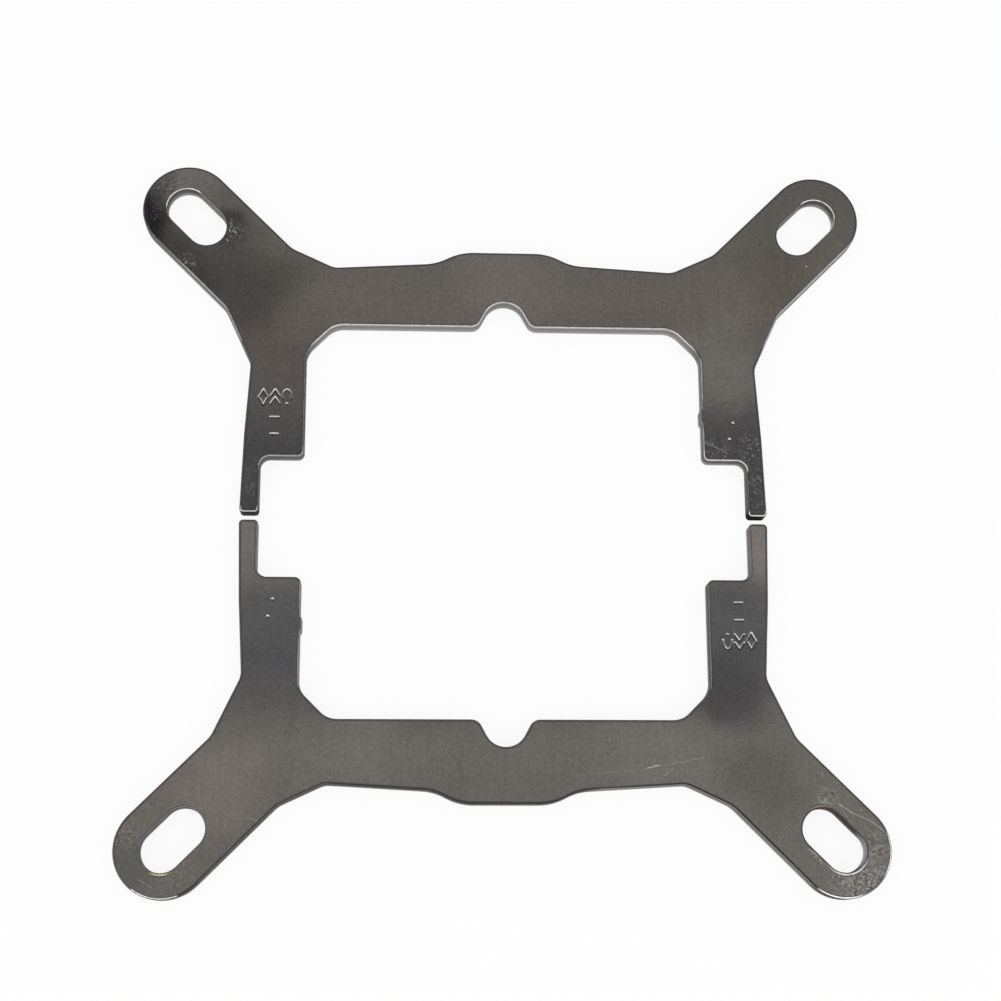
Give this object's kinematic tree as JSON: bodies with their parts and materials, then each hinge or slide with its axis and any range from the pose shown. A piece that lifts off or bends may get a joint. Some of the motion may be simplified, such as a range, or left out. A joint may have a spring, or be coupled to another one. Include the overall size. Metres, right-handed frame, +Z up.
{
  "type": "cpu cooler mounting bracket",
  "caption": "Flat stamped steel bracket in two matching halves that clamps a liquid cooler's pump head over a processor socket, with slotted diagonal arms.",
  "frame": {"origin": "centre of the bracket, midway between the two halves, on the underside that lies on the board side", "axes": "+Z up out of the sheet towards the screw heads, +Y from the front half to the rear half, +X along the rails"},
  "size_m": [0.0912, 0.0912, 0.002],
  "materials": {
    "plated_steel": "dark nickel plate over cold-rolled steel, satin with a soft sheen, bright cut edges"
  },
  "bodies": {
    "root": {"rear_half": "plated_steel", "front_half": "plated_steel"}
  },
  "joints": []
}
